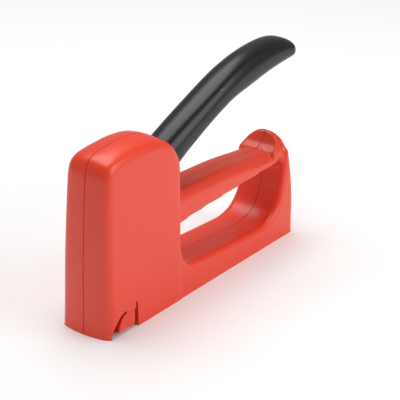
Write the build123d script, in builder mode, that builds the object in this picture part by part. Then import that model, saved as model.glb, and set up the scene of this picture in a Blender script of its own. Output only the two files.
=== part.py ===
"""Compact hand tacker: moulded shell halves, squeeze lever, striker works and drop-down magazine.

Stations run rearward from the nose and heights run up from the base, both in millimetres.
The origin is the bottom centre of the whole tool; the seam between the shells is the plane Y = 0.
"""
import os

from build123d import *

os.makedirs("parts", exist_ok=True)

# Shells
LENGTH = 167.0
HALF_WIDTH = 15.0
TOP_HALF_WIDTH = 12.0
WALL = 2.2
EDGE_ROUND = 4.2
HEAD_BACK = 59.0
HEAD_SHOULDER = 69.0
BODY_END = 153.0
GRIP_HALF_WIDTH = 11.0
GRIP_ROUND = 7.5
GRIP_UNDER_ROUND = 4.5
HAND_STOP_RADIUS = 11.6
HAND_STOP_CENTRE = 44.6
SLOT_HALF_WIDTH = 9.5
MAGAZINE_SLOT_HALF_WIDTH = 7.2
NOTCH_DEPTH = 6.8

# Fixings and pivots
SCREWS = [(49.0, 19.0), (30.0, 38.0), (31.0, 79.5), (80.0, 45.3), (148.4, 21.0)]
BOSS_RADIUS = 4.4
SCREW_SEAT = 5.5
LEVER_PIVOT = (45.0, 66.0)
LEVER_PIN_RADIUS = 2.5
MAGAZINE_PIVOT = (142.0, 12.0)
MAGAZINE_PIN_RADIUS = 1.5
RUNNING_FIT = 0.05

# Lever
LEVER_HALF_WIDTH = 9.0
LEVER_ROUND = 6.0
ARM_INNER = 6.3
ARM_OUTER = 7.5
ARM_TIP = (14.0, 60.8)
ARM_TIP_RADIUS = 2.0

# Striker
SPRING_AXIS = 14.0
CUP_RADIUS = 5.95
CUP_BORE = 5.05
CUP_FOOT = 42.6
CUP_TOP = 65.0
BLADE_FACE = 5.6
BLADE_THICKNESS = 0.6
BLADE_HALF_WIDTH = 5.2

# Magazine
CHANNEL_HALF_WIDTH = 6.3
CHANNEL_WALL = 0.8
CHANNEL_FLOOR = 1.6
CHANNEL_TOP = 9.6
CHANNEL_FRONT = 6.8
CHANNEL_END = 143.4
ROD_HEIGHT = 5.4
ROD_RADIUS = 1.0
FOLLOWER_FRONT = 7.4
FOLLOWER_LENGTH = 13.0
CATCH_INNER = 10.6


def side(y=0.0):
    """Side-view plane at y: first axis rearward from the nose, second axis up, facing -Y."""
    return Plane(origin=(-LENGTH / 2, y, 0), x_dir=(1, 0, 0), z_dir=(0, -1, 0))


def deck(height):
    """Level plane at a height: first axis rearward from the nose, second axis +Y."""
    return Plane(origin=(-LENGTH / 2, 0, height), x_dir=(1, 0, 0), z_dir=(0, 0, 1))


def cross(station):
    """Cross-section plane at a station: first axis +Y, second axis up, facing rearward."""
    return Plane(origin=(station - LENGTH / 2, 0, 0), x_dir=(0, 1, 0), z_dir=(1, 0, 0))


# Side view of the head: a leaning front, a rounded crown and a shoulder that falls to the rear.
with BuildSketch() as head_view:
    with BuildLine():
        Spline(
            (0, 0),
            (1.2, 22),
            (1.8, 38.6),
            (4.6, 75.0),
            (6.8, 83.2),
            (12.0, 86.9),
            (21.0, 88.2),
            (33.0, 88.0),
            (42.0, 86.8),
            (51.0, 83.0),
            (56.6, 77.5),
            (HEAD_BACK, HEAD_SHOULDER),
            tangents=((0.05, 1), (0, -1)),
        )
        Line((HEAD_BACK, HEAD_SHOULDER), (HEAD_BACK, 0))
        Line((HEAD_BACK, 0), (0, 0))
    make_face()

# Side view of the base and the rear post that joins it to the grip.
with BuildSketch() as base_view:
    with BuildLine():
        Line((10, 0), (10, 14))
        Line((10, 14), (56, 15.6))
        Line((56, 15.6), (120, 12.4))
        Spline(
            (120, 12.4),
            (131.5, 14.2),
            (138.8, 20.5),
            (142.1, 28.6),
            (146.2, 36.5),
            (147.8, 45.5),
            tangents=((1, -0.05), (0.05, 1)),
        )
        ThreePointArc((147.8, 45.5), (149.4, 48.2), (151.2, 45.5))
        Spline((151.2, 45.5), (153.3, 34), (154.2, 22), (BODY_END, 0))
        Line((BODY_END, 0), (10, 0))
    make_face()

# Side view of the grip bar, which runs into the post.
with BuildSketch() as grip_view:
    with BuildLine():
        Spline((50, 53.2), (76, 53.6), (108, 53.1), (130.5, 50.8), (150, 48.2))
        Line((150, 48.2), (150, 37.6))
        Spline((150, 37.6), (110, 37.4), (75, 36.8), (50, 34.8))
        Line((50, 34.8), (50, 53.2))
    make_face()

# Cross-sections of the body and of its hollow: the sides draw in towards the top.
with BuildSketch() as body_section:
    with BuildLine():
        Polyline((-HALF_WIDTH, 0), (-TOP_HALF_WIDTH, 90), (TOP_HALF_WIDTH, 90), (HALF_WIDTH, 0), close=True)
    make_face()

with BuildSketch() as hollow_section:
    with BuildLine():
        Polyline((WALL - HALF_WIDTH, 0), (WALL - TOP_HALF_WIDTH, 90),
                 (TOP_HALF_WIDTH - WALL, 90), (HALF_WIDTH - WALL, 0), close=True)
    make_face()

with BuildPart() as head_block:
    with BuildSketch(side()):
        add(head_view.sketch)
    extrude(amount=HALF_WIDTH, both=True)
    with BuildSketch(cross(-5)):
        add(body_section.sketch)
    extrude(amount=LENGTH, mode=Mode.INTERSECT)
    rims = head_block.edges().filter_by(lambda e: abs(e.center().Y) > TOP_HALF_WIDTH)
    fillet(rims.filter_by(lambda e: e.center().Z > 1), EDGE_ROUND)

with BuildPart() as base_block:
    with BuildSketch(side()):
        add(base_view.sketch)
    extrude(amount=HALF_WIDTH, both=True)
    with BuildSketch(cross(-5)):
        add(body_section.sketch)
    extrude(amount=LENGTH, mode=Mode.INTERSECT)

with BuildPart() as grip_block:
    with BuildSketch(side()):
        add(grip_view.sketch)
    extrude(amount=GRIP_HALF_WIDTH, both=True)
    long_edges = grip_block.edges().filter_by(
        lambda e: abs(e.center().Y) > GRIP_HALF_WIDTH - 0.01 and e.length > 90
    )
    fillet(long_edges.group_by(Axis.Z)[-1], GRIP_ROUND)
    long_edges = grip_block.edges().filter_by(
        lambda e: abs(e.center().Y) > GRIP_HALF_WIDTH - 0.01 and e.length > 90
    )
    fillet(long_edges.group_by(Axis.Z)[0], GRIP_UNDER_ROUND)

# The upright hand stop at the rear of the grip: a scooped front face under a round top.
with BuildPart() as hand_stop:
    with BuildSketch(side()):
        with BuildLine():
            Spline((139.3, 49.6), (143.5, 51.3), (147.9, 55.6), tangents=((1, -0.05), (1, 1)))
            ThreePointArc((147.9, 55.6), (149.4, 56.2), (150.4, 54.9))
            Line((150.4, 54.9), (151.6, 44))
            Line((151.6, 44), (139.3, 44))
            Line((139.3, 44), (139.3, 49.6))
        make_face()
    extrude(amount=HAND_STOP_RADIUS, both=True)
    with BuildSketch(cross(139)):
        with Locations((0, HAND_STOP_CENTRE)):
            Circle(HAND_STOP_RADIUS)
    extrude(amount=14, mode=Mode.INTERSECT)

# Side views of the hollows, one wall thickness inside the outlines above.
with BuildSketch() as head_hollow:
    with BuildLine():
        Spline(
            (2.6, WALL),
            (3.5, 22),
            (4.1, 38.6),
            (6.8, 74.8),
            (8.8, 81.8),
            (13.2, 84.9),
            (21.0, 86.0),
            (33.0, 85.8),
            (41.6, 84.6),
            (49.6, 81.2),
            (54.6, 76.2),
            (HEAD_BACK - WALL, HEAD_SHOULDER),
            tangents=((0.05, 1), (0, -1)),
        )
        Line((HEAD_BACK - WALL, HEAD_SHOULDER), (HEAD_BACK - WALL, WALL))
        Line((HEAD_BACK - WALL, WALL), (2.6, WALL))
    make_face()

with BuildSketch() as base_hollow:
    with BuildLine():
        Polyline((12, WALL), (12, 12.0), (56, 13.4), (120, 10.2))
        Spline((120, 10.2), (132.3, 12.0), (140.8, 19.3), (144.3, 27.7), (147.8, 36))
        Line((147.8, 36), (150.6, 40))
        Spline((150.6, 40), (152.0, 22), (BODY_END - WALL, WALL))
        Line((BODY_END - WALL, WALL), (12, WALL))
    make_face()

with BuildSketch() as grip_hollow:
    with BuildLine():
        Spline((52, 51.0), (76, 51.4), (108, 50.9), (130.5, 48.6), (147.6, 46.2))
        Line((147.6, 46.2), (147.6, 39.8))
        Spline((147.6, 39.8), (110, 39.6), (75, 39.0), (52, 37.2))
        Line((52, 37.2), (52, 51.0))
    make_face()

# Everything hollow in the shells, with the ribs and bosses left standing in it.
with BuildPart() as cavity:
    with BuildSketch(side()):
        add(head_hollow.sketch)
    extrude(amount=HALF_WIDTH - WALL, both=True)
    with BuildSketch(side()):
        add(base_hollow.sketch)
    extrude(amount=HALF_WIDTH - WALL, both=True)
    with BuildSketch(side()):
        add(grip_hollow.sketch)
    extrude(amount=GRIP_HALF_WIDTH - WALL - 1.2, both=True)
    with BuildSketch(cross(-5)):
        add(hollow_section.sketch)
    extrude(amount=LENGTH, mode=Mode.INTERSECT)
    # Room in front of the blade for its upper end.
    with BuildSketch(side()):
        with Locations((7.0, 54)):
            Rectangle(3.6, 28)
    extrude(amount=BLADE_HALF_WIDTH + 0.5, both=True)
    with BuildSketch(side()):
        for station, height in SCREWS:
            with Locations((station, height)):
                Circle(BOSS_RADIUS)
        with Locations((14.2, 35.8)):
            Rectangle(13.6, 3.6)
        with Locations((SPRING_AXIS, 84.2)):
            Rectangle(14.0, 6.0)
    extrude(amount=HALF_WIDTH, both=True, mode=Mode.SUBTRACT)
    for inner, outline, radius in [(9.7, LEVER_PIVOT, 5.2), (7.1, MAGAZINE_PIVOT, 3.8)]:
        for near in (-HALF_WIDTH, inner):
            with BuildSketch(side(near + HALF_WIDTH - inner if near < 0 else HALF_WIDTH)):
                with Locations(outline):
                    Circle(radius)
            extrude(amount=HALF_WIDTH - inner, mode=Mode.SUBTRACT)
    for outer in (HALF_WIDTH, -7.4):
        with BuildSketch(side(outer)):
            with Locations((6.4, 24)):
                Rectangle(1.8, 20)
        extrude(amount=HALF_WIDTH - 7.4, mode=Mode.SUBTRACT)

with BuildPart() as shell_pair:
    add(head_block.part)
    add(base_block.part)
    add(grip_block.part)
    add(hand_stop.part)
    add(cavity.part, mode=Mode.SUBTRACT)
    # Long slot in the underside for the magazine.
    with BuildSketch(side()):
        with Locations((77.4, 1)):
            Rectangle(146.4, 4)
    extrude(amount=MAGAZINE_SLOT_HALF_WIDTH, both=True, mode=Mode.SUBTRACT)
    # Slot in the rear of the head for the lever.
    with BuildSketch(side()):
        with Locations((57.5, 75)):
            Rectangle(20, 35)
    extrude(amount=SLOT_HALF_WIDTH, both=True, mode=Mode.SUBTRACT)
    # Notch for a catch in each side of the nose.
    for outer in (HALF_WIDTH + 0.2, -NOTCH_DEPTH):
        with BuildSketch(side(outer)):
            with BuildLine():
                Line((3.5, -1), (3.5, 1.8))
                Spline((3.5, 1.8), (4.9, 5.4), (9.1, 9.6), (14.7, 11.6), (22.2, 12.4))
                Line((22.2, 12.4), (22.2, -1))
                Line((22.2, -1), (3.5, -1))
            make_face()
        extrude(amount=HALF_WIDTH + 0.2 - NOTCH_DEPTH, mode=Mode.SUBTRACT)
    # Blind pin bores.
    with BuildSketch(side()):
        with Locations(LEVER_PIVOT):
            Circle(LEVER_PIN_RADIUS + RUNNING_FIT)
    extrude(amount=11.6, both=True, mode=Mode.SUBTRACT)
    with BuildSketch(side()):
        with Locations(MAGAZINE_PIVOT):
            Circle(MAGAZINE_PIN_RADIUS + RUNNING_FIT)
    extrude(amount=13.3, both=True, mode=Mode.SUBTRACT)

with BuildPart() as left_shell:
    add(shell_pair.part)
    with BuildSketch(side()):
        Rectangle(4 * LENGTH, 2 * LENGTH)
    extrude(amount=2 * HALF_WIDTH, mode=Mode.INTERSECT)
    with BuildSketch(side()):
        for station, height in SCREWS:
            with Locations((station, height)):
                Circle(1.5)
    extrude(amount=7.5, mode=Mode.SUBTRACT)

with BuildPart() as right_shell:
    add(shell_pair.part)
    with BuildSketch(side()):
        Rectangle(4 * LENGTH, 2 * LENGTH)
    extrude(amount=-2 * HALF_WIDTH, mode=Mode.INTERSECT)
    for start, radius, depth in [(HALF_WIDTH + 1, 3.0, HALF_WIDTH + 1 - SCREW_SEAT), (10, 1.7, 10)]:
        with BuildSketch(side(start)):
            for station, height in SCREWS:
                with Locations((station, height)):
                    Circle(radius)
        extrude(amount=depth, mode=Mode.SUBTRACT)

with BuildPart() as shell_screws:
    for station, height in SCREWS:
        with BuildSketch(side(SCREW_SEAT + 1.9)):
            with Locations((station, height)):
                Circle(2.7)
        extrude(amount=1.8)
        with BuildSketch(side(SCREW_SEAT + 0.1)):
            with Locations((station, height)):
                Circle(1.45)
        extrude(amount=12.0)
        with BuildSketch(side(SCREW_SEAT + 1.9)):
            with Locations((station, height)):
                Rectangle(2.4, 0.6)
                Rectangle(0.6, 2.4)
        extrude(amount=1.0, mode=Mode.SUBTRACT)

with BuildPart() as nose_plate:
    with BuildSketch(cross(4.5)):
        with Locations((0, 18.4)):
            Rectangle(14.0, 35.2)
        with Locations((0, 27)):
            Rectangle(18.0, 6.0)
    extrude(amount=0.8)

with BuildPart() as bumper:
    with BuildSketch(deck(37.8)):
        with Locations((SPRING_AXIS, 0)):
            RectangleRounded(12.0, 11.6, 2.0)
    extrude(amount=4.4)

with BuildPart() as spring_seat:
    with BuildSketch(deck(79.0)):
        with Locations((SPRING_AXIS, 0)):
            Circle(5.6)
    extrude(amount=2.0)
    with BuildSketch(deck(75.8)):
        with Locations((SPRING_AXIS, 0)):
            Circle(3.3)
    extrude(amount=3.2)

with BuildPart() as main_spring:
    with BuildLine() as main_coil:
        Helix(pitch=3.0, height=33.2, radius=4.2, center=(SPRING_AXIS - LENGTH / 2, 0, 45.0))
    with BuildSketch(Plane(origin=main_coil.line @ 0, z_dir=main_coil.line % 0)):
        Circle(0.55)
    sweep(is_frenet=True)

with BuildPart() as striker_carrier:
    with BuildSketch(deck(CUP_FOOT)):
        with Locations((SPRING_AXIS, 0)):
            Circle(CUP_RADIUS)
    extrude(amount=CUP_TOP - CUP_FOOT)
    with BuildSketch(deck(44.0)):
        with Locations((8.0, 0)):
            Rectangle(3.4, 9.2)
    extrude(amount=12.0)
    # The two ears that the lever's fork lifts.
    with BuildSketch(deck(62.95)):
        with Locations((SPRING_AXIS, 0)):
            Rectangle(7.0, 17.2)
    extrude(amount=CUP_TOP - 62.95)
    with BuildSketch(deck(CUP_FOOT + 1.4)):
        with Locations((SPRING_AXIS, 0)):
            Circle(CUP_BORE)
    extrude(amount=30, mode=Mode.SUBTRACT)

with BuildPart() as driver_blade:
    with BuildSketch(cross(BLADE_FACE)):
        with Locations((0, 25.6)):
            Rectangle(2 * BLADE_HALF_WIDTH, 48.8)
    extrude(amount=BLADE_THICKNESS)

with BuildPart() as lever_pin:
    with BuildSketch(side()):
        with Locations(LEVER_PIVOT):
            Circle(LEVER_PIN_RADIUS)
    extrude(amount=11.4, both=True)

# Side view of one plate of the lever arm: fork tip, pivot eye and a tail inside the lever.
with BuildSketch() as arm_view:
    with Locations(ARM_TIP):
        Circle(ARM_TIP_RADIUS)
    with Locations(LEVER_PIVOT):
        Circle(6.0)
    with BuildLine():
        Polyline((14.3, 62.8), (19.0, 62.8), (44.0, 71.9), (60, 77.0), (99.5, 94.2), (101.5, 87.6),
                 (61.5, 70.0), (46.0, 60.1), (14.3, 58.8), close=True)
    make_face()

with BuildPart() as lever_arm:
    for outer in (ARM_OUTER, -ARM_INNER):
        with BuildSketch(side(outer)):
            add(arm_view.sketch)
            with Locations(LEVER_PIVOT):
                Circle(LEVER_PIN_RADIUS + RUNNING_FIT, mode=Mode.SUBTRACT)
        extrude(amount=ARM_OUTER - ARM_INNER)
    # Bridges that join the plates: one under the return spring, one inside the lever.
    with BuildSketch(side()):
        with Locations((33, 63.2)):
            Rectangle(6.0, 1.2)
        with BuildLine():
            Polyline((70.0, 76.4), (96.0, 87.8), (96.5, 86.6), (70.5, 75.2), close=True)
        make_face()
    extrude(amount=ARM_INNER, both=True)

# Side view of the black lever: it rises from the head and curls down again at its tip.
with BuildSketch() as lever_view:
    with BuildLine():
        Spline(
            (51.5, 77.0),
            (61.3, 81.3),
            (89.2, 92.9),
            (113.6, 102.4),
            (135.4, 107.2),
            (148.5, 107.6),
            (163.0, 103.9),
            tangents=((0.9, 0.4), (0.85, -0.5)),
        )
        ThreePointArc((163.0, 103.9), (167.0, 99.8), (163.8, 95.6))
        Spline(
            (163.8, 95.6),
            (146.8, 93.7),
            (121.4, 89.2),
            (98.0, 83.2),
            (74.9, 72.6),
            (61.5, 65.2),
            (51.5, 61.0),
            tangents=((-1, -0.15), (-0.9, -0.4)),
        )
        Line((51.5, 61.0), (51.5, 77.0))
    make_face()

with BuildPart() as lever_grip:
    with BuildSketch(side()):
        add(lever_view.sketch)
    extrude(amount=LEVER_HALF_WIDTH, both=True)
    crest = lever_grip.edges().filter_by(lambda e: abs(e.center().Y) > LEVER_HALF_WIDTH - 0.01)
    fillet(crest.filter_by(lambda e: e.length > 100).group_by(Axis.Z)[-1], LEVER_ROUND)
    # Pocket for the steel arm, open at the front end.
    with BuildSketch(side()):
        add(arm_view.sketch)
        offset(amount=0.15)
    extrude(amount=ARM_OUTER + 0.15, both=True, mode=Mode.SUBTRACT)

with BuildPart() as return_spring:
    with BuildLine() as return_path:
        coil = Helix(
            pitch=1.2,
            height=6.0,
            radius=3.5,
            center=(LEVER_PIVOT[0] - LENGTH / 2, 3.0, LEVER_PIVOT[1]),
            direction=(0, -1, 0),
        )
    with BuildSketch(Plane(origin=coil @ 0, z_dir=coil % 0)):
        Circle(0.45)
    sweep(is_frenet=True)

with BuildPart() as magazine_channel:
    with BuildSketch(side()):
        with BuildLine():
            Polyline((CHANNEL_FRONT, CHANNEL_FLOOR), (CHANNEL_FRONT, CHANNEL_TOP), (136.0, CHANNEL_TOP),
                     (138.9, MAGAZINE_PIVOT[1]), (CHANNEL_END, MAGAZINE_PIVOT[1]),
                     (CHANNEL_END, CHANNEL_FLOOR), close=True)
        make_face()
        with Locations(MAGAZINE_PIVOT):
            Circle(3.2)
    extrude(amount=CHANNEL_HALF_WIDTH, both=True)
    with BuildSketch(side()):
        with Locations((75, 20 + CHANNEL_FLOOR + CHANNEL_WALL)):
            Rectangle(150, 40)
    extrude(amount=CHANNEL_HALF_WIDTH - CHANNEL_WALL, both=True, mode=Mode.SUBTRACT)
    with BuildSketch(side()):
        with Locations(MAGAZINE_PIVOT):
            Circle(MAGAZINE_PIN_RADIUS + RUNNING_FIT)
    extrude(amount=CHANNEL_HALF_WIDTH, both=True, mode=Mode.SUBTRACT)

with BuildPart() as magazine_nose:
    with BuildSketch(cross(7.2)):
        with Locations((0, 4.8)):
            Rectangle(16.4, 8.6)
        with Locations((0, 6.55)):
            Rectangle(2 * CHANNEL_HALF_WIDTH + 0.2, 10.0, mode=Mode.SUBTRACT)
    extrude(amount=14.2)

with BuildPart() as magazine_pin:
    with BuildSketch(side()):
        with Locations(MAGAZINE_PIVOT):
            Circle(MAGAZINE_PIN_RADIUS)
    extrude(amount=12.9, both=True)

with BuildPart() as guide_rod:
    with BuildSketch(cross(FOLLOWER_FRONT + 0.2)):
        with Locations((0, ROD_HEIGHT)):
            Circle(ROD_RADIUS)
    extrude(amount=128.4)

with BuildPart() as rod_bracket:
    with BuildSketch(cross(133.6)):
        with Locations((0, 5.9)):
            Rectangle(10.6, 6.8)
        with Locations((0, ROD_HEIGHT)):
            Circle(ROD_RADIUS + 0.02, mode=Mode.SUBTRACT)
    extrude(amount=2.4)

with BuildPart() as follower:
    with BuildSketch(cross(FOLLOWER_FRONT)):
        with Locations((0, 5.85)):
            Rectangle(10.4, 6.5)
        with Locations((0, ROD_HEIGHT)):
            Circle(ROD_RADIUS + 0.08, mode=Mode.SUBTRACT)
    extrude(amount=FOLLOWER_LENGTH)

with BuildPart() as follower_spring:
    with BuildLine() as follower_coil:
        Helix(
            pitch=4.6,
            height=112.0,
            radius=1.9,
            center=(21.0 - LENGTH / 2, 0, ROD_HEIGHT),
            direction=(1, 0, 0),
        )
    with BuildSketch(Plane(origin=follower_coil.line @ 0, z_dir=follower_coil.line % 0)):
        Circle(0.35)
    sweep(is_frenet=True)

# Side view of a catch, a little smaller all round than its notch.
with BuildSketch() as catch_view:
    with BuildLine():
        Line((4.4, 2.0), (20.9, 2.0))
        Line((20.9, 2.0), (20.9, 9.4))
        Line((20.9, 9.4), (12.0, 9.4))
        ThreePointArc((12.0, 9.4), (7.2, 6.6), (4.4, 2.0))
    make_face()

with BuildPart() as left_catch:
    with BuildSketch(side(-CATCH_INNER)):
        add(catch_view.sketch)
    extrude(amount=HALF_WIDTH - 0.2 - CATCH_INNER)

with BuildPart() as right_catch:
    with BuildSketch(side(HALF_WIDTH - 0.2)):
        add(catch_view.sketch)
    extrude(amount=HALF_WIDTH - 0.2 - CATCH_INNER)

with BuildPart() as left_catch_spring:
    with BuildLine() as left_coil:
        Helix(
            pitch=0.9,
            height=1.5,
            radius=1.5,
            center=(14.0 - LENGTH / 2, -8.65, 5.6),
            direction=(0, -1, 0),
        )
    with BuildSketch(Plane(origin=left_coil.line @ 0, z_dir=left_coil.line % 0)):
        Circle(0.2)
    sweep(is_frenet=True)

with BuildPart() as right_catch_spring:
    add(left_catch_spring.part.mirror(Plane.XZ))

left_shell.part.label = "left_shell"
export_step(left_shell.part, "parts/left_shell.step")
right_shell.part.label = "right_shell"
export_step(right_shell.part, "parts/right_shell.step")
shell_screws.part.label = "shell_screws"
export_step(shell_screws.part, "parts/shell_screws.step")
nose_plate.part.label = "nose_plate"
export_step(nose_plate.part, "parts/nose_plate.step")
bumper.part.label = "bumper"
export_step(bumper.part, "parts/bumper.step")
spring_seat.part.label = "spring_seat"
export_step(spring_seat.part, "parts/spring_seat.step")
main_spring.part.label = "main_spring"
export_step(main_spring.part, "parts/main_spring.step")
striker_carrier.part.label = "striker_carrier"
export_step(striker_carrier.part, "parts/striker_carrier.step")
driver_blade.part.label = "driver_blade"
export_step(driver_blade.part, "parts/driver_blade.step")
lever_pin.part.label = "lever_pin"
export_step(lever_pin.part, "parts/lever_pin.step")
lever_arm.part.label = "lever_arm"
export_step(lever_arm.part, "parts/lever_arm.step")
lever_grip.part.label = "lever_grip"
export_step(lever_grip.part, "parts/lever_grip.step")
return_spring.part.label = "return_spring"
export_step(return_spring.part, "parts/return_spring.step")
magazine_channel.part.label = "magazine_channel"
export_step(magazine_channel.part, "parts/magazine_channel.step")
magazine_nose.part.label = "magazine_nose"
export_step(magazine_nose.part, "parts/magazine_nose.step")
magazine_pin.part.label = "magazine_pin"
export_step(magazine_pin.part, "parts/magazine_pin.step")
guide_rod.part.label = "guide_rod"
export_step(guide_rod.part, "parts/guide_rod.step")
rod_bracket.part.label = "rod_bracket"
export_step(rod_bracket.part, "parts/rod_bracket.step")
follower.part.label = "follower"
export_step(follower.part, "parts/follower.step")
follower_spring.part.label = "follower_spring"
export_step(follower_spring.part, "parts/follower_spring.step")
left_catch.part.label = "left_catch"
export_step(left_catch.part, "parts/left_catch.step")
right_catch.part.label = "right_catch"
export_step(right_catch.part, "parts/right_catch.step")
left_catch_spring.part.label = "left_catch_spring"
export_step(left_catch_spring.part, "parts/left_catch_spring.step")
right_catch_spring.part.label = "right_catch_spring"
export_step(right_catch_spring.part, "parts/right_catch_spring.step")
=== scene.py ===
import math

import bmesh
import bpy
import numpy as np
from mathutils import Matrix, Vector


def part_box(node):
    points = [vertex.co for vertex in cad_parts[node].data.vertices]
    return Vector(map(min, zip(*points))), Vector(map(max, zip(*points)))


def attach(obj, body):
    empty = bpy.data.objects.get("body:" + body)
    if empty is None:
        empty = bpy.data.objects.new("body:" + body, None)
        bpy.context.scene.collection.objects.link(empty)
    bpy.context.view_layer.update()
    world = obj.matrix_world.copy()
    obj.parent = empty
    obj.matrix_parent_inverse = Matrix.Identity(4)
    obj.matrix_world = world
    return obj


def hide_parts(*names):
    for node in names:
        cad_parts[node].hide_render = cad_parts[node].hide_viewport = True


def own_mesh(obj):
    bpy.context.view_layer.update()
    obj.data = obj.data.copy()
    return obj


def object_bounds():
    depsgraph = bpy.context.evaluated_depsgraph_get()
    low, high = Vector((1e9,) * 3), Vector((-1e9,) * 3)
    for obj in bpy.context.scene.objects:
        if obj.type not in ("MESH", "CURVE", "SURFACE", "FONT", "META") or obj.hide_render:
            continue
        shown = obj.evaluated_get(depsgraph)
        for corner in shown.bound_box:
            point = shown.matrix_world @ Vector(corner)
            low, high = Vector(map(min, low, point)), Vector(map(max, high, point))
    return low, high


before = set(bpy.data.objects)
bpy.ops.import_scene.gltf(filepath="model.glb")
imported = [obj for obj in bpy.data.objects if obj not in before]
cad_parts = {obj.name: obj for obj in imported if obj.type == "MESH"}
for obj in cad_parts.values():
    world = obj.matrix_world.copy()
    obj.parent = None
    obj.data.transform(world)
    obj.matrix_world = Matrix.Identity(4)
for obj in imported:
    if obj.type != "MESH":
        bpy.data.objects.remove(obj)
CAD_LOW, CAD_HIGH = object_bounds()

MM = 0.001
NOSE = CAD_LOW.x
SHELL_HALF_WIDTH = CAD_HIGH.y
HEAD_HALF_WIDTH = 15.4 * MM
HEAD_ROUND = 4.2 * MM
BASE_ROUND = 2.6 * MM
GRIP_HALF_WIDTH = 11 * MM
GRIP_ROUND = 6.5 * MM
STOP_HALF_WIDTH = 12 * MM
STOP_RADIUS = 11.8 * MM
SHELL_WALL = 2.2 * MM
# Each side draws in by 20% of its width over 90 mm of height, written here per metre.
SIDE_DRAFT = 2.2
FRONT_BOW = 2.2 * MM
FRONT_DEPTH = 15 * MM
TOP_DOME = 3.4 * MM
DOME_FOOT = 64 * MM
DOME_RISE = 24 * MM
SEAM_GAP = 0.1 * MM
SEAM_ROUND = 0.25 * MM
SCREWS = [(49, 19), (30, 38), (31, 79.5), (80, 45.3), (148.4, 21)]
BOSS_RADIUS = 4.4 * MM
LEVER_PIVOT = (45, 66)
MAGAZINE_PIVOT = (142, 12)
PAST_SIDE = 20 * MM
VOXEL = 0.7 * MM
MOULD_GRAIN = 0.6 * MM
SHELL_RED = "ea3c1c"
SHELL_DEEP_RED = "dc3216"


def linear(hex_colour):
    """sRGB hex to the linear colour that the shaders take."""
    channels = [int(hex_colour[i:i + 2], 16) / 255 for i in (0, 2, 4)]
    return [c / 12.92 if c < 0.04045 else ((c + 0.055) / 1.055) ** 2.4 for c in channels] + [1.0]


def node(tree, kind, settings=None, links=None, **attributes):
    """Adds a node: attributes are set on it, settings on its sockets, links come into its sockets."""
    made = tree.nodes.new(kind)
    for name, value in attributes.items():
        setattr(made, name, value)
    for socket, value in (settings or {}).items():
        made.inputs[socket].default_value = value
    for socket, source in (links or {}).items():
        tree.links.new(source, made.inputs[socket])
    return made


def new_material(name):
    """An empty node material and its node tree."""
    material = bpy.data.materials.new(name)
    material.use_nodes = True
    material.node_tree.nodes.clear()
    return material, material.node_tree


def moulded_plastic(name, light, deep, roughness, coat=0.0, ior=1.53):
    """Moulded plastic: even colour, faint flow marks, a fine spark texture and a soft gloss."""
    material, tree = new_material(name)
    place = node(tree, "ShaderNodeTexCoord")
    flow = node(tree, "ShaderNodeTexNoise", {"Scale": 1 / (38 * MM), "Detail": 3.0},
                {"Vector": place.outputs["Object"]})
    colour = node(tree, "ShaderNodeMix", {"A": linear(deep), "B": linear(light)}, data_type="RGBA")
    share = node(tree, "ShaderNodeMapRange", {"From Min": 0.25, "From Max": 0.6, "To Min": 0.82},
                 {"Value": flow.outputs["Fac"]})
    tree.links.new(share.outputs["Result"], colour.inputs["Factor"])
    # Spark texture of the mould, drawn at 0.6 mm so that it just shows.
    grain = node(tree, "ShaderNodeTexNoise", {"Scale": 1 / MOULD_GRAIN, "Detail": 2.0},
                 {"Vector": place.outputs["Object"]})
    rough = node(tree, "ShaderNodeMapRange",
                 {"From Min": 0.3, "From Max": 0.7, "To Min": roughness - 0.03, "To Max": roughness + 0.05},
                 {"Value": grain.outputs["Fac"]})
    bump = node(tree, "ShaderNodeBump", {"Strength": 0.05, "Distance": 0.02 * MM},
                {"Height": grain.outputs["Fac"]})
    shader = node(tree, "ShaderNodeBsdfPrincipled",
                  {"IOR": ior, "Coat Weight": coat, "Coat Roughness": 0.22},
                  {"Base Color": colour.outputs["Result"], "Roughness": rough.outputs["Result"],
                   "Normal": bump.outputs["Normal"]})
    node(tree, "ShaderNodeOutputMaterial", links={"Surface": shader.outputs["BSDF"]})
    return material


def station(x, z):
    """A point in side view, from millimetres behind the nose and above the base, to metres."""
    return (NOSE + x * MM, z * MM)


def through(points, steps):
    """A smooth line through points, by Catmull-Rom spans of a few steps each."""
    spans = []
    for i in range(len(points) - 1):
        a, b, c = points[max(i - 1, 0)], points[i], points[i + 1]
        d = points[min(i + 2, len(points) - 1)]
        for k in range(steps):
            t = k / steps
            spans.append(tuple(
                0.5 * (2 * q + (r - p) * t + (2 * p - 5 * q + 4 * r - s) * t * t
                       + (3 * q - p - 3 * r + s) * t ** 3)
                for p, q, r, s in zip(a, b, c, d)
            ))
    return spans + [points[-1]]


def new_object(name, mesh_or_bmesh):
    """Puts a mesh, or a bmesh turned into one, in the scene."""
    mesh = mesh_or_bmesh
    if isinstance(mesh_or_bmesh, bmesh.types.BMesh):
        mesh = bpy.data.meshes.new(name)
        mesh_or_bmesh.to_mesh(mesh)
        mesh_or_bmesh.free()
    made = bpy.data.objects.new(name, mesh)
    bpy.context.scene.collection.objects.link(made)
    return made


def modified(obj, kind, **settings):
    """Adds one modifier and applies it to the mesh at once."""
    modifier = obj.modifiers.new(kind.title(), kind)
    for name, value in settings.items():
        setattr(modifier, name, value)
    bpy.context.view_layer.update()
    baked = bpy.data.meshes.new_from_object(obj.evaluated_get(bpy.context.evaluated_depsgraph_get()))
    obj.modifiers.clear()
    obj.data = baked
    return obj


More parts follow.
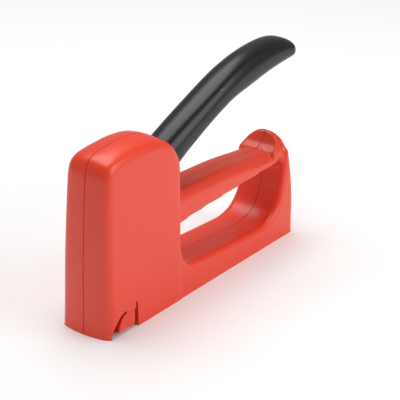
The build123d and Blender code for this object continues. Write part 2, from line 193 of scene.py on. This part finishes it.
def side_slab(name, outline, half_width, rounding=0.0, segments=6, draft=0.0, middle=0.0,
              front_share=1.0):
    """Extrudes a side-view outline across the tool, rounds its rims off the base and draws it in upwards."""
    form = bmesh.new()
    near = [form.verts.new((x, middle - half_width, z)) for x, z in outline]
    far = [form.verts.new((x, middle + half_width, z)) for x, z in outline]
    form.faces.new(near)
    form.faces.new(list(reversed(far)))
    for i in range(len(outline)):
        j = (i + 1) % len(outline)
        form.faces.new((near[j], near[i], far[i], far[j]))
    bmesh.ops.recalc_face_normals(form, faces=form.faces)
    weight = form.edges.layers.float.new("bevel_weight_edge")
    for edge in form.edges:
        (x0, y0, z0), (x1, y1, z1) = (v.co for v in edge.verts)
        if abs(y0 - y1) < 1e-9 and max(z0, z1) > 0.5 * MM:
            upright_front = (x0 + x1) / 2 < NOSE + 9 * MM and (z0 + z1) / 2 < 84 * MM
            edge[weight] = front_share if upright_front else 1.0
    made = new_object(name, form)
    if rounding:
        modified(made, "BEVEL", width=rounding, segments=segments, limit_method="WEIGHT",
                 use_clamp_overlap=False)
    for vert in made.data.vertices:
        vert.co.y *= 1 - draft * vert.co.z
    return made


def joined(name, parts):
    """Joins several objects' meshes into the first one."""
    form = bmesh.new()
    for part in parts:
        form.from_mesh(part.data)
    for part in parts:
        bpy.data.objects.remove(part)
    return new_object(name, form)


def creased(obj, angle=35):
    """Shades the mesh smooth, but keeps edges sharper than an angle in degrees."""
    obj.data.polygons.foreach_set("use_smooth", [True] * len(obj.data.polygons))
    obj.data.set_sharp_from_angle(angle=math.radians(angle))
    return obj


def block(name, low, high):
    """A plain form between two corners, in millimetres from the nose, the seam and the base."""
    form = bmesh.new()
    bmesh.ops.create_cube(form, size=1.0)
    for vert in form.verts:
        vert.co = Vector((
            NOSE + (low[0] if vert.co.x < 0 else high[0]) * MM,
            (low[1] if vert.co.y < 0 else high[1]) * MM,
            (low[2] if vert.co.z < 0 else high[2]) * MM,
        ))
    return new_object(name, form)


def drum(name, place, radius, near, far):
    """A cylinder across the tool at a place in side view, from one Y to another in metres."""
    x, z = station(*place)
    form = bmesh.new()
    bmesh.ops.create_cone(
        form, cap_ends=True, segments=40, radius1=radius, radius2=radius, depth=far - near,
        matrix=Matrix.Translation((x, (near + far) / 2, z)) @ Matrix.Rotation(math.pi / 2, 4, "X"))
    return new_object(name, form)


def cut(obj, tools, operation="DIFFERENCE"):
    """Cuts, keeps or adds each closed form in turn, and clears the forms away."""
    for tool in tools:
        modified(obj, "BOOLEAN", operation=operation, object=tool, solver="MANIFOLD")
        bpy.data.objects.remove(tool)
    return obj


head_outline = [station(x, z) for x, z in through(
    [(-0.3, -3), (0.5, 8), (1.0, 22), (1.7, 38.6), (3.0, 57), (4.6, 75), (5.6, 80.6), (7.6, 84.4),
     (11.2, 86.5), (16.5, 87.5), (23, 88.1), (31, 88.4), (38, 88.0), (44.8, 86.7), (51.0, 83.7),
     (55.8, 79.4), (58.8, 74), (60.2, 68), (59.6, 50), (58.8, 30), (58.4, -3)], steps=6)]
base_outline = [station(x, z) for x, z in (
    [(10, -3), (10, 14), (50, 34)]
    + through([(56.7, 33), (58.2, 27), (59.6, 21.0), (63.0, 16.6), (69, 14.9), (90, 13.5), (118, 11.9),
               (127, 12.0), (134.5, 14.0), (139.8, 18.4), (142.8, 23.8), (144.6, 29.4), (146.2, 34.8),
               (147.6, 41)], steps=5)
    + through([(148.3, 46.5), (149.8, 48.8), (151.4, 46.5), (153.0, 40), (154.2, 33), (154.9, 24),
               (154.9, 15), (153.8, -3)], steps=4)
)]
grip_outline = [station(x, z) for x, z in (
    through([(50, 53.2), (76, 52.7), (100, 51.8), (114, 50.8), (126, 49.4), (134, 48.6), (150, 47.4)],
            steps=5)
    + through([(150, 38.6), (128, 38.2), (108, 37.6), (84, 36.8), (70, 35.6), (60, 33.6), (50, 30)],
              steps=5)
)]
stop_outline = [station(x, z) for x, z in (
    through([(139.6, 46.5), (141.0, 48.4), (143.7, 50.2), (146.0, 53.0), (147.9, 55.6), (149.3, 56.2),
             (150.4, 55.0), (151.2, 50), (151.8, 44)], steps=4)
    + [(139.6, 44)]
)]

head_form = side_slab("head_form", head_outline, HEAD_HALF_WIDTH, HEAD_ROUND, draft=SIDE_DRAFT,
                      front_share=0.9)
base_form = side_slab("base_form", base_outline, SHELL_HALF_WIDTH, BASE_ROUND, 4, draft=SIDE_DRAFT)
grip_form = side_slab("grip_form", grip_outline, GRIP_HALF_WIDTH, GRIP_ROUND)
stop_form = side_slab("stop_form", stop_outline, STOP_HALF_WIDTH)
# The hand stop is round in rear view: it keeps only what a drum along the tool leaves.
round_end = bmesh.new()
bmesh.ops.create_cone(
    round_end, cap_ends=True, segments=64, radius1=STOP_RADIUS, radius2=STOP_RADIUS, depth=60 * MM,
    matrix=Matrix.Translation((NOSE + 145 * MM, 0, 44.5 * MM)) @ Matrix.Rotation(math.pi / 2, 4, "Y"))
cut(stop_form, [new_object("round_end", round_end)], "INTERSECT")

body = joined("body_form", [head_form, base_form, grip_form, stop_form])
modified(body, "REMESH", mode="VOXEL", voxel_size=VOXEL)
modified(body, "SMOOTH", factor=0.5, iterations=14)
cut(body, [block("below_base", (-10, -20, -10), (170, 20, 0))])
# The front face bows forward at the seam and the top is domed, so both fall away to the corners.
places = np.empty(len(body.data.vertices) * 3, np.float32)
body.data.vertices.foreach_get("co", places)
places = places.reshape(-1, 3)
near_front = np.clip(1 - (places[:, 0] - NOSE) / FRONT_DEPTH, 0, 1)
off_seam = (places[:, 1] / SHELL_HALF_WIDTH) ** 2
near_top = np.clip((places[:, 2] - DOME_FOOT) / DOME_RISE, 0, 1)
places[:, 0] += FRONT_BOW * near_front * off_seam
places[:, 2] -= TOP_DOME * near_top ** 2 * off_seam
body.data.vertices.foreach_set("co", places.ravel())
body.data.update()

# The hollow: the body less one wall all round, less the ribs, bosses and hubs that stand in it.
hollow = new_object("hollow_form", body.data.copy())
modified(hollow, "DISPLACE", strength=-SHELL_WALL, mid_level=0.0)
modified(hollow, "REMESH", mode="VOXEL", voxel_size=1.2 * MM)
cut(hollow, [
    block("rear_limit", (132, -20, 43), (170, 20, 70)),
    block("anvil_shelf", (7.4, -20, 34), (21, 20, 37.6)),
    block("spring_ceiling", (7, -20, 81.2), (21, 20, 87.2)),
    block("left_guide_rib", (5.5, -20, 14), (7.3, -7.4, 34)),
    block("right_guide_rib", (5.5, 7.4, 14), (7.3, 20, 34)),
    drum("left_lever_hub", LEVER_PIVOT, 5.2 * MM, -PAST_SIDE, -9.7 * MM),
    drum("right_lever_hub", LEVER_PIVOT, 5.2 * MM, 9.7 * MM, PAST_SIDE),
    drum("left_magazine_hub", MAGAZINE_PIVOT, 3.8 * MM, -PAST_SIDE, -7.1 * MM),
    drum("right_magazine_hub", MAGAZINE_PIVOT, 3.8 * MM, 7.1 * MM, PAST_SIDE),
] + [drum("boss", place, BOSS_RADIUS, -PAST_SIDE, PAST_SIDE) for place in SCREWS])
cut(hollow, [block("blade_room", (5.2, -5.7, 40), (8.8, 5.7, 68))], "UNION")

# A catch's notch leaves a crescent in front of the catch, a thin line above it and an upright slot.
notch_outline = [station(x, z) for x, z in (
    [(22.2, 12.8), (22.2, -1), (3.5, -1)]
    + through([(3.5, 1.8), (4.9, 5.4), (9.1, 9.6), (13.6, 11.4)], steps=5)
    + [(14.2, 9.8), (20.9, 9.8), (20.9, 12.8)]
)]

# Red ABS: even and saturated, with a satin gloss that pales where it mirrors the pale surroundings.
red_abs = moulded_plastic("red_abs", SHELL_RED, SHELL_DEEP_RED, 0.3, 0.12)
for side_sign, shell_name in ((-1, "left_shell"), (1, "right_shell")):
    # Each half ends just short of the seam, with a small rounding there that draws the seam line.
    shell = new_object(shell_name + "_moulding", body.data.copy())
    reach = sorted((side_sign * SEAM_GAP / MM, side_sign * 20))
    cut(shell, [block("half", (-10, reach[0], -10), (180, reach[1], 120))], "INTERSECT")
    for vert in shell.data.vertices:
        if abs(abs(vert.co.y) - SEAM_GAP) < 1e-6:
            vert.co -= body.closest_point_on_mesh(vert.co)[2] * SEAM_ROUND
    cut(shell, [new_object("hollow", hollow.data.copy())])
    cut(shell, [
        block("lever_slot", (47.5, -9.5, 57.5), (70, 9.5, 95)),
        block("magazine_slot", (4.2, -7.2, -1), (150.6, 7.2, 4)),
        side_slab("notch", notch_outline, 4.7 * MM, middle=side_sign * 11.5 * MM),
        drum("lever_bore", LEVER_PIVOT, 2.55 * MM, -11.6 * MM, 11.6 * MM),
        drum("magazine_bore", MAGAZINE_PIVOT, 1.55 * MM, -13.3 * MM, 13.3 * MM),
    ])
    for place in SCREWS:
        if side_sign > 0:
            cut(shell, [drum("well", place, 3.0 * MM, 5.5 * MM, PAST_SIDE),
                        drum("clearance_bore", place, 1.7 * MM, -1 * MM, 10 * MM)])
        else:
            cut(shell, [drum("pilot_bore", place, 1.5 * MM, -7.5 * MM, 1 * MM)])
    creased(shell)
    shell.data.materials.clear()
    shell.data.materials.append(red_abs)
    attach(shell, "frame")
    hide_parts(shell_name)
bpy.data.objects.remove(body)
bpy.data.objects.remove(hollow)

# ---- Lever -------------------------------------------------------------------------------------
# A squeeze lever moulded in black ABS over a forked steel arm. It has a flattened underside, a
# round back and a rounded end, polished enough to show a long soft highlight.
LEVER_HALF_WIDTH = 9 * MM
LEVER_TIP = 166.9 * MM
TIP_ROUND = 7 * MM
LEVER_BLACK = "101011"
LEVER_DEEP_BLACK = "08080a"
# Black ABS: nearly black, smoother than the shells, so that it shows its gloss and little else.
black_abs = moulded_plastic("black_abs", LEVER_BLACK, LEVER_DEEP_BLACK, 0.25, ior=1.46)

crest = [station(x, z) for x, z in through(
    [(52, 77.6), (61.3, 81.8), (72, 86.4), (89.2, 93.3), (103.4, 98.9), (113.6, 102.2), (124, 104.7),
     (135.4, 106.2), (146, 106.6), (154, 105.9), (159.5, 104.2), (163.4, 102.0), (166.2, 98.8)], steps=6)]
belly = [station(x, z) for x, z in through(
    [(55, 61.4), (62.5, 64.8), (73, 70.4), (91.4, 79.0), (104, 83.8), (112.9, 86.2), (124, 88.2),
     (137, 90.8), (147.5, 92.4), (154, 93.2), (159.5, 94.0), (163.2, 94.8), (165.8, 96.2)], steps=6)]
RING = 72
lever_form = bmesh.new()
rings = []
for (tx, tz), (bx, bz) in zip(crest, belly):
    top, bottom = Vector((tx, 0, tz)), Vector((bx, 0, bz))
    from_end = (NOSE + LEVER_TIP - max(tx, bx)) / TIP_ROUND
    half = LEVER_HALF_WIDTH * (1 if from_end >= 1 else math.sqrt(max(0.0, 1 - (1 - from_end) ** 2)))
    ring = []
    for k in range(RING):
        turn = 2 * math.pi * k / RING
        across, up = math.cos(turn), math.sin(turn)
        power = 2.3 if up > 0 else 3.4
        scale = (abs(across) ** power + abs(up) ** power) ** (-1 / power)
        rise = 0.42 + (0.58 if up > 0 else 0.42) * up * scale
        ring.append(lever_form.verts.new(bottom.lerp(top, rise) + Vector((0, half * across * scale, 0))))
    rings.append(ring)
for before, after in zip(rings, rings[1:]):
    for k in range(RING):
        lever_form.faces.new((before[k], before[(k + 1) % RING], after[(k + 1) % RING], after[k]))
lever_form.faces.new(rings[0])
lever_form.faces.new(list(reversed(rings[-1])))
bmesh.ops.recalc_face_normals(lever_form, faces=lever_form.faces)
lever = creased(new_object("lever_moulding", lever_form), 60)
lever.data.materials.append(black_abs)
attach(lever, "lever")
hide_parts("lever_grip")

# ---- Catches -----------------------------------------------------------------------------------
# Two small red ABS buttons at the nose that are squeezed together to free the magazine. Each has a
# swept front edge, rounded rims and a shallow dish for the finger.
CATCH_MIDDLE = 12.7 * MM
CATCH_HALF_THICKNESS = 2.0 * MM
CATCH_ROUND = 0.5 * MM
DISH_RADIUS = 12 * MM
DISH_CENTRE = (14.2, 26.3, 5.2)
catch_outline = [station(x, z) for x, z in (
    [(20.7, 1.6), (20.7, 9.4), (14.6, 9.4)]
    + through([(13.8, 9.3), (11.2, 7.6), (9.4, 5.0), (8.6, 1.6)], steps=5)
)]
for side_sign, catch_name in ((-1, "left_catch"), (1, "right_catch")):
    catch = side_slab(catch_name + "_button", catch_outline, CATCH_HALF_THICKNESS, CATCH_ROUND, 3,
                      middle=side_sign * CATCH_MIDDLE)
    dish = bmesh.new()
    bmesh.ops.create_uvsphere(
        dish, u_segments=48, v_segments=24, radius=DISH_RADIUS,
        matrix=Matrix.Translation((NOSE + DISH_CENTRE[0] * MM, side_sign * DISH_CENTRE[1] * MM,
                                   DISH_CENTRE[2] * MM)))
    cut(catch, [new_object("dish", dish)])
    creased(catch)
    catch.data.materials.clear()
    catch.data.materials.append(red_abs)
    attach(catch, catch_name)
    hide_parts(catch_name)

# ---- Steel pieces ------------------------------------------------------------------------------
# Pressings, pins and screws in mild steel with a bright zinc plating: pale, slightly blue, with a
# faint mottle and fine lines left by rolling. The hardened blade, rod and springs are darker.
ZINC_MOTTLE = 2.5 * MM
ROLLING_LINES = 0.35 * MM


def plated_steel(name, light, dark, roughness, line_stretch):
    """Metal with a mottle of two greys and fine lines that run along the tool."""
    material, tree = new_material(name)
    place = node(tree, "ShaderNodeTexCoord")
    mottle = node(tree, "ShaderNodeTexNoise", {"Scale": 1 / ZINC_MOTTLE, "Detail": 4.0},
                  {"Vector": place.outputs["Object"]})
    colour = node(tree, "ShaderNodeMix", {"A": linear(dark), "B": linear(light)},
                  {"Factor": mottle.outputs["Fac"]}, data_type="RGBA")
    along = node(tree, "ShaderNodeMapping", {"Scale": (1 / line_stretch, 1, 1)},
                 {"Vector": place.outputs["Object"]})
    lines = node(tree, "ShaderNodeTexNoise", {"Scale": 1 / ROLLING_LINES, "Detail": 2.0},
                 {"Vector": along.outputs["Vector"]})
    rough = node(tree, "ShaderNodeMapRange", {"To Min": roughness - 0.08, "To Max": roughness + 0.1},
                 {"Value": lines.outputs["Fac"]})
    bump = node(tree, "ShaderNodeBump", {"Strength": 0.08, "Distance": 0.01 * MM},
                {"Height": lines.outputs["Fac"]})
    shader = node(tree, "ShaderNodeBsdfPrincipled", {"Metallic": 1.0},
                  {"Base Color": colour.outputs["Result"], "Roughness": rough.outputs["Result"],
                   "Normal": bump.outputs["Normal"]})
    node(tree, "ShaderNodeOutputMaterial", links={"Surface": shader.outputs["BSDF"]})
    return material


def given(material, names):
    """Gives CAD nodes a material in place of the plain one they came with."""
    for name in names:
        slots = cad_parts[name].data.materials
        slots.clear()
        slots.append(material)


# Bright zinc plate: pale grey with a soft, slightly blue mirror.
zinc_plate = plated_steel("zinc_plated_steel", "d3d6d8", "b4b9bd", 0.3, 12)
given(zinc_plate, ["shell_screws", "nose_plate", "striker_carrier", "lever_pin", "lever_arm",
                   "magazine_channel", "magazine_pin", "rod_bracket", "follower"])
# Ground and hardened steel: darker and smoother, bare of plating.
hard_steel = plated_steel("hardened_steel", "a7a8aa", "86888b", 0.24, 20)
given(hard_steel, ["driver_blade", "guide_rod"])
# Oiled spring wire: dark warm grey, with draw lines along the wire.
spring_wire = plated_steel("oiled_spring_wire", "8d8b87", "5f5d5b", 0.32, 6)
given(spring_wire, ["return_spring"])

# ---- Coil springs ------------------------------------------------------------------------------
# Four compression springs wound from oiled carbon steel wire. Each is copied from its part as it
# stands, given the spring wire and attached to the body that holds it.
for spring, body_name, joint, axis, travel in (
    ("main_spring", "frame", "striker_lift", 2, 10.4 * MM),
    ("follower_spring", "magazine", "follower_slide", 0, 60 * MM),
    ("left_catch_spring", "magazine", "left_catch_press", 1, 1.5 * MM),
    ("right_catch_spring", "magazine", "right_catch_press", 1, 1.5 * MM),
):
    first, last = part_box(spring)
    held = first.copy() if spring == "right_catch_spring" else last.copy()
    coil = new_object(spring + "_coil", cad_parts[spring].data.copy())
    coil.data.materials.clear()
    coil.data.materials.append(spring_wire)
    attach(coil, body_name)
    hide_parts(spring)
    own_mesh(coil)

# ---- Buffers and magazine nose -----------------------------------------------------------------
# A black rubber bumper that stops the striker, a natural nylon seat on top of the main spring, and
# the red ABS guide round the mouth of the magazine.
# Moulded rubber: matt and dark. Natural nylon: milky white with a waxy gloss.
bumper_rubber = moulded_plastic("moulded_rubber", "1d1d1e", "141415", 0.72, 0.0)
given(bumper_rubber, ["bumper"])
natural_nylon = moulded_plastic("natural_nylon", "ece8da", "dcd7c6", 0.45, 0.0)
given(natural_nylon, ["spring_seat"])
given(red_abs, ["magazine_nose"])

# ---- Stage -------------------------------------------------------------------------------------
# A plain pale floor with soft studio light from above and from the left side of the tool.
CAMERA_FROM_NOSE = (-442.0, -397.2, 329.3)
white_paint, tree = new_material("white_paint")
paint = node(tree, "ShaderNodeBsdfPrincipled", {"Base Color": (0.95, 0.95, 0.95, 1), "Roughness": 0.9})
node(tree, "ShaderNodeOutputMaterial", links={"Surface": paint.outputs["BSDF"]})
floor_form = bmesh.new()
bmesh.ops.create_grid(floor_form, x_segments=1, y_segments=1, size=6.0)
floor = new_object("floor", floor_form)
floor.location.z = CAD_LOW.z
floor.data.materials.append(white_paint)

world = bpy.data.worlds.new("studio")
world.use_nodes = True
world.node_tree.nodes["Background"].inputs["Color"].default_value = (1, 1, 1, 1)
world.node_tree.nodes["Background"].inputs["Strength"].default_value = 0.34
bpy.context.scene.world = world


def soft_box(name, place, target, size, power):
    """A square soft light at a place, turned to a target."""
    lamp = bpy.data.lights.new(name, "AREA")
    lamp.size = size
    lamp.energy = power
    made = bpy.data.objects.new(name, lamp)
    made.location = place
    made.rotation_euler = (Vector(target) - Vector(place)).to_track_quat("-Z", "Y").to_euler()
    bpy.context.scene.collection.objects.link(made)
    return made


soft_box("overhead_light", (0.1, 0.25, 1.1), (0.05, 0.1, 0), 1.0, 10)
soft_box("side_light", (0.25, -0.9, 0.45), (0, 0, 0.04), 0.7, 4.2)

# The view: from the nose end on the left, looking slightly down.
AZIMUTH, ELEVATION = math.radians(-53.3), math.radians(23.8)
back = Vector((math.sin(AZIMUTH) * math.cos(ELEVATION), -math.cos(AZIMUTH) * math.cos(ELEVATION),
               math.sin(ELEVATION)))
right = Vector((math.cos(AZIMUTH), math.sin(AZIMUTH), 0))
up = back.cross(right)
camera_data = bpy.data.cameras.new("camera")
camera_data.sensor_width = 36
camera_data.lens = 130.5
camera = bpy.data.objects.new("camera", camera_data)
bpy.context.scene.collection.objects.link(camera)
camera.matrix_world = Matrix((
    (right.x, up.x, back.x, NOSE + CAMERA_FROM_NOSE[0] * MM),
    (right.y, up.y, back.y, CAMERA_FROM_NOSE[1] * MM),
    (right.z, up.z, back.z, CAMERA_FROM_NOSE[2] * MM),
    (0, 0, 0, 1),
))
bpy.context.scene.camera = camera
bpy.context.scene.view_settings.view_transform = "Standard"
